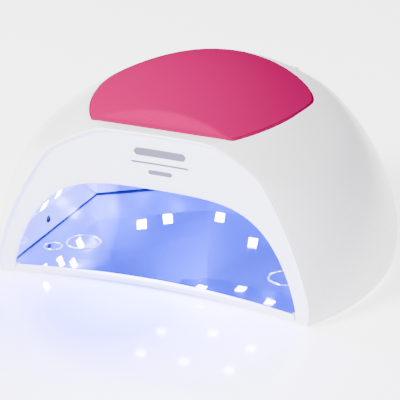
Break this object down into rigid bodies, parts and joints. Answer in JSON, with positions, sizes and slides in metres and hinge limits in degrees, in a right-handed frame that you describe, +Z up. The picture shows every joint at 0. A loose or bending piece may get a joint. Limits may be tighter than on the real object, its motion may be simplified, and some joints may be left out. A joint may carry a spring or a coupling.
{
  "type": "uv led nail lamp",
  "caption": "Dome-shaped desktop UV LED nail curing lamp: arched hand opening, mirror-lined cavity, loose base plate, soft crown pad, display and timer buttons.",
  "frame": {"origin": "centre of the footprint's bounding box, on the surface the lamp stands on", "axes": "+X across the lamp to the right as seen from the hand opening, +Y away from the hand opening to the rear, +Z up"},
  "size_m": [0.2196, 0.176, 0.109],
  "materials": {
    "white_gloss_plastic": "glossy moulded ABS",
    "pink_silicone": "satin silicone",
    "mirror_film": "metallised mirror plastic",
    "button_white": "glossy moulded caps",
    "nickel": "nickel plate",
    "foot_rubber": "matt rubber",
    "inner_plastic": "matt moulded ABS",
    "led_board": "white-masked aluminium core board",
    "led_chip": "clear lens, lit",
    "screw_steel": "zinc plated",
    "circuit_board": "green solder mask",
    "black_plastic": "matt",
    "wire_sleeve": "soft sleeve",
    "smoked_window": "smoked clear window",
    "sensor_dark": "dark infrared lens"
  },
  "bodies": {
    "base": {"base_plate": "white_gloss_plastic", "base_mirror_sheet": "mirror_film", "base_magnets": "nickel", "base_rubber_feet": "foot_rubber"},
    "lamp": {"bottom_frame": "inner_plastic", "capacitors": "black_plastic", "catch_discs": "nickel", "control_board": "circuit_board", "control_board_screws": "screw_steel", "dc_jack": "black_plastic", "dc_jack_pin": "nickel", "display_module": "black_plastic", "display_window": "smoked_window", "driver_chips": "black_plastic", "inductors": "black_plastic", "led_board_ceiling": "led_board", "led_board_left": "led_board", "led_board_rear": "led_board", "led_board_rear_left": "led_board", "led_board_rear_right": "led_board", "led_board_right": "led_board", "led_chips_ceiling": "led_chip", "led_chips_left": "led_chip", "led_chips_rear": "led_chip", "led_chips_rear_left": "led_chip", "led_chips_rear_right": "led_chip", "led_chips_right": "led_chip", "panel_board": "circuit_board", "panel_lead": "wire_sleeve", "panel_screws": "screw_steel", "power_lead": "wire_sleeve", "reflector": "mirror_film", "reflector_screws": "screw_steel", "sensor_emitter": "sensor_dark", "sensor_holder_left": "inner_plastic", "sensor_holder_right": "inner_plastic", "sensor_receiver": "sensor_dark", "shell_screws": "screw_steel", "tact_switches": "black_plastic", "top_shell": "white_gloss_plastic", "wire_sockets": "inner_plastic"},
    "pad": {"silicone_pad": "pink_silicone"},
    "button_10s": {"button_10s": "button_white"},
    "button_30s": {"button_30s": "button_white"},
    "button_60s": {"button_60s": "button_white"},
    "button_99s": {"button_99s": "button_white"}
  },
  "joints": [
    {"name": "lamp_lift", "type": "slide", "parent": "base", "child": "lamp", "axis": [0, 0, 1], "range_m": [0, 0.06]},
    {"name": "pad_lift", "type": "slide", "parent": "lamp", "child": "pad", "axis": [0, 0, 1], "range_m": [0, 0.02]},
    {"name": "button_10s_press", "type": "slide", "parent": "lamp", "child": "button_10s", "axis": [0, -0.454, -0.891], "range_m": [0, 0.0006], "stiffness_N_per_m": 600, "springref_m": -0.001},
    {"name": "button_30s_press", "type": "slide", "parent": "lamp", "child": "button_30s", "axis": [0, -0.454, -0.891], "range_m": [0, 0.0006], "stiffness_N_per_m": 600, "springref_m": -0.001},
    {"name": "button_60s_press", "type": "slide", "parent": "lamp", "child": "button_60s", "axis": [0, -0.454, -0.891], "range_m": [0, 0.0006], "stiffness_N_per_m": 600, "springref_m": -0.001},
    {"name": "button_99s_press", "type": "slide", "parent": "lamp", "child": "button_99s", "axis": [0, -0.454, -0.891], "range_m": [0, 0.0006], "stiffness_N_per_m": 600, "springref_m": -0.001}
  ]
}
